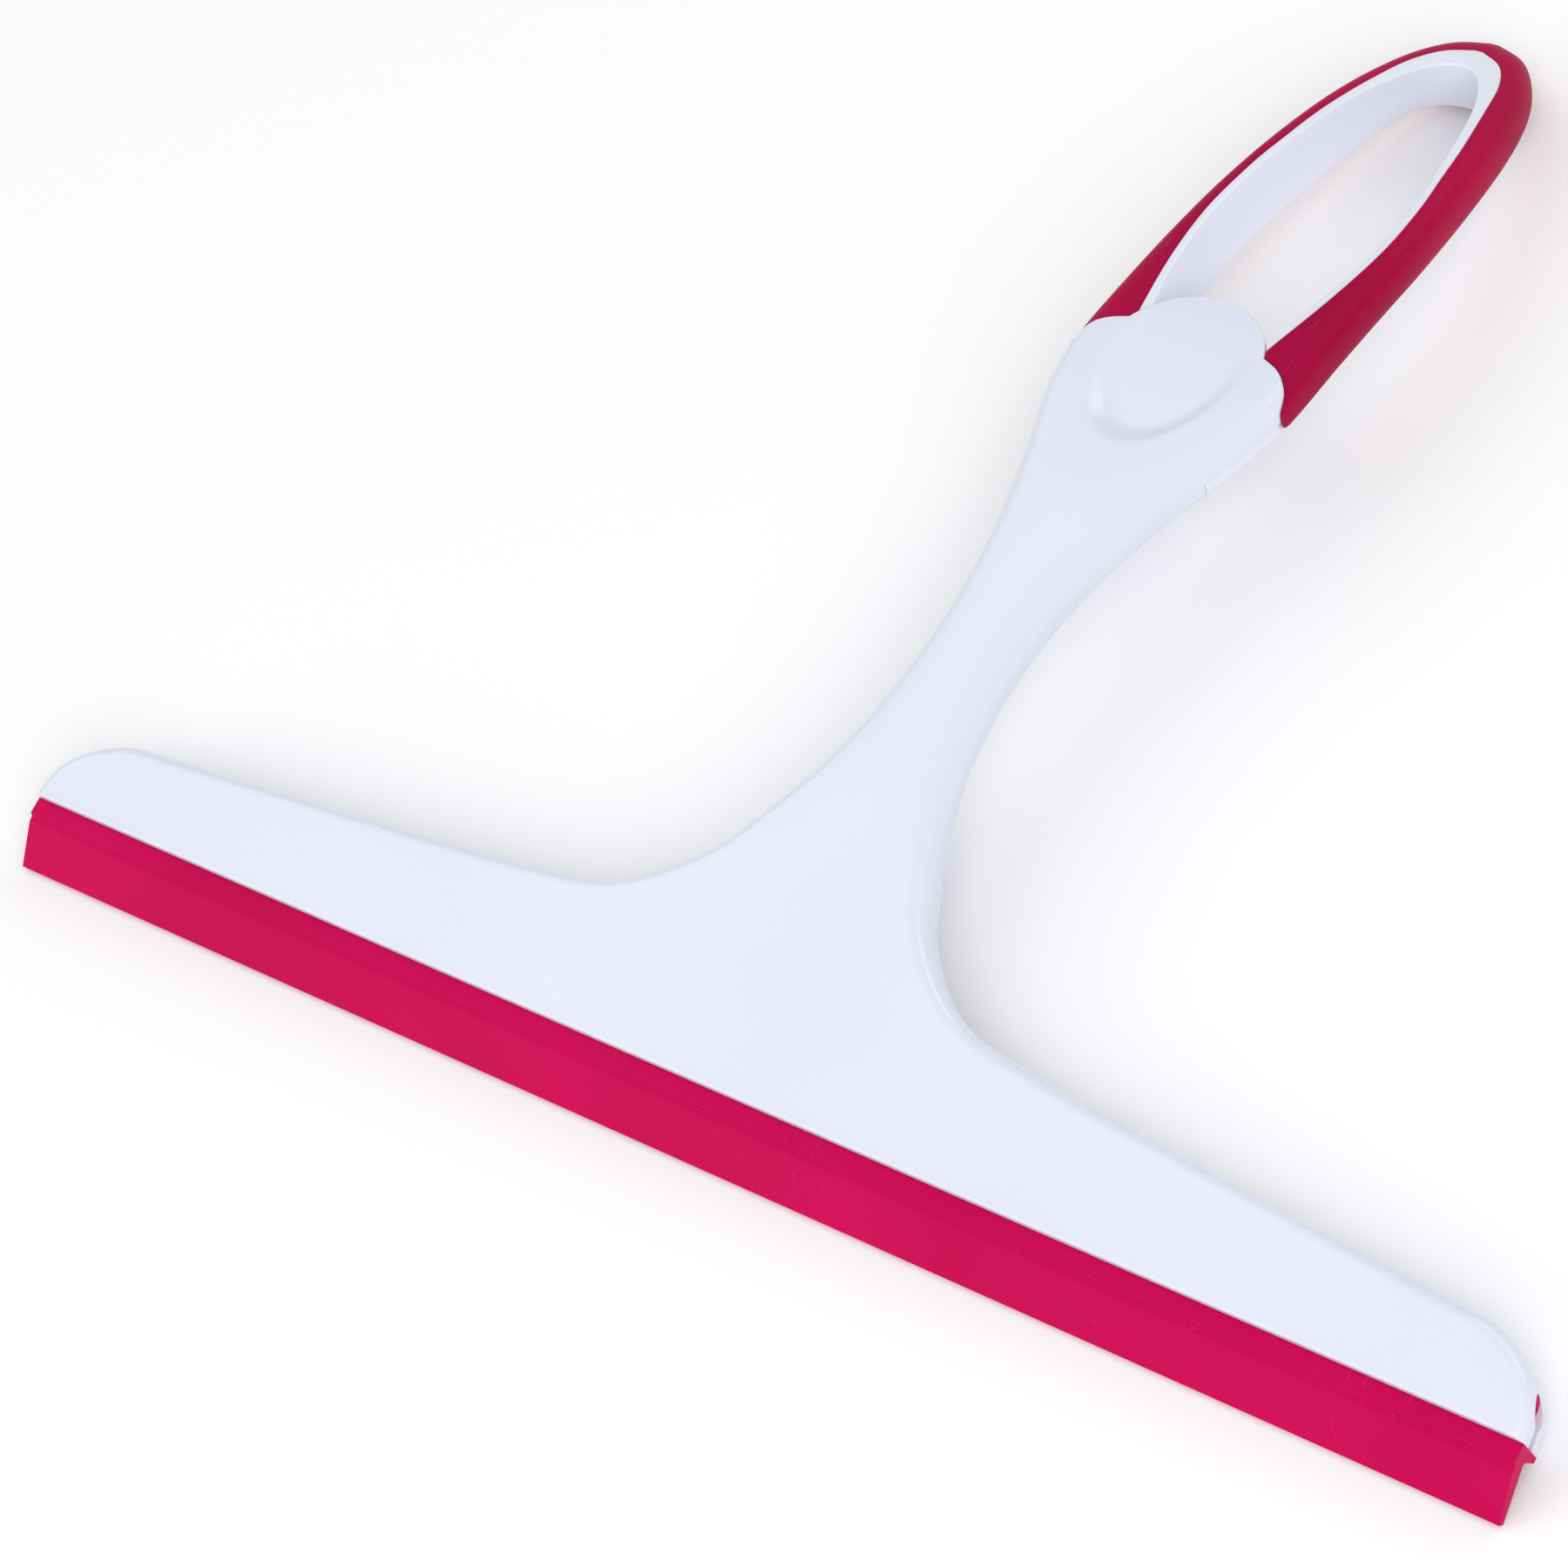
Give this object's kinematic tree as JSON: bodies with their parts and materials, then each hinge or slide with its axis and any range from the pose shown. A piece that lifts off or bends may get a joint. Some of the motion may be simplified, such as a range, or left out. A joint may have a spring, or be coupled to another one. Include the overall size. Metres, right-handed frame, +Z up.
{
  "type": "window squeegee",
  "caption": "T-shaped hand squeegee for windows with an arched neck, a soft-sleeved hand loop and a slide-in rubber blade with a bending lip.",
  "frame": {"origin": "bottom centre of the box of the squeegee lying face up: on the table, midway along the blade and midway between the wiping edge and the tip of the hand loop", "axes": "+X along the blade, +Y from the blade towards the hand loop, +Z up, out of the face"},
  "size_m": [0.24, 0.2074, 0.0241],
  "materials": {
    "body_plastic": "glossy moulded polypropylene, cool white",
    "loop_plastic": "glossy moulded polypropylene, cool white",
    "grip_rubber": "satin soft thermoplastic rubber, rose",
    "blade_rubber": "smooth thermoplastic rubber, rose"
  },
  "bodies": {
    "handle": {"front_shell": "body_plastic", "rear_cover": "body_plastic", "loop_core": "loop_plastic", "grip_sleeve": "grip_rubber"},
    "blade": {"blade_root": "blade_rubber"},
    "lip": {"blade_lip": "blade_rubber"}
  },
  "joints": [
    {"name": "blade_slide", "type": "slide", "parent": "handle", "child": "blade", "axis": [1, 0, 0], "range_m": [0, 0.2]},
    {"name": "lip_flex", "type": "hinge", "parent": "blade", "child": "lip", "pos_m": [0, -0.098, 0.00513], "axis": [1, 0, 0], "range_deg": [-35, 35], "stiffness_Nm_per_rad": 0.2}
  ]
}
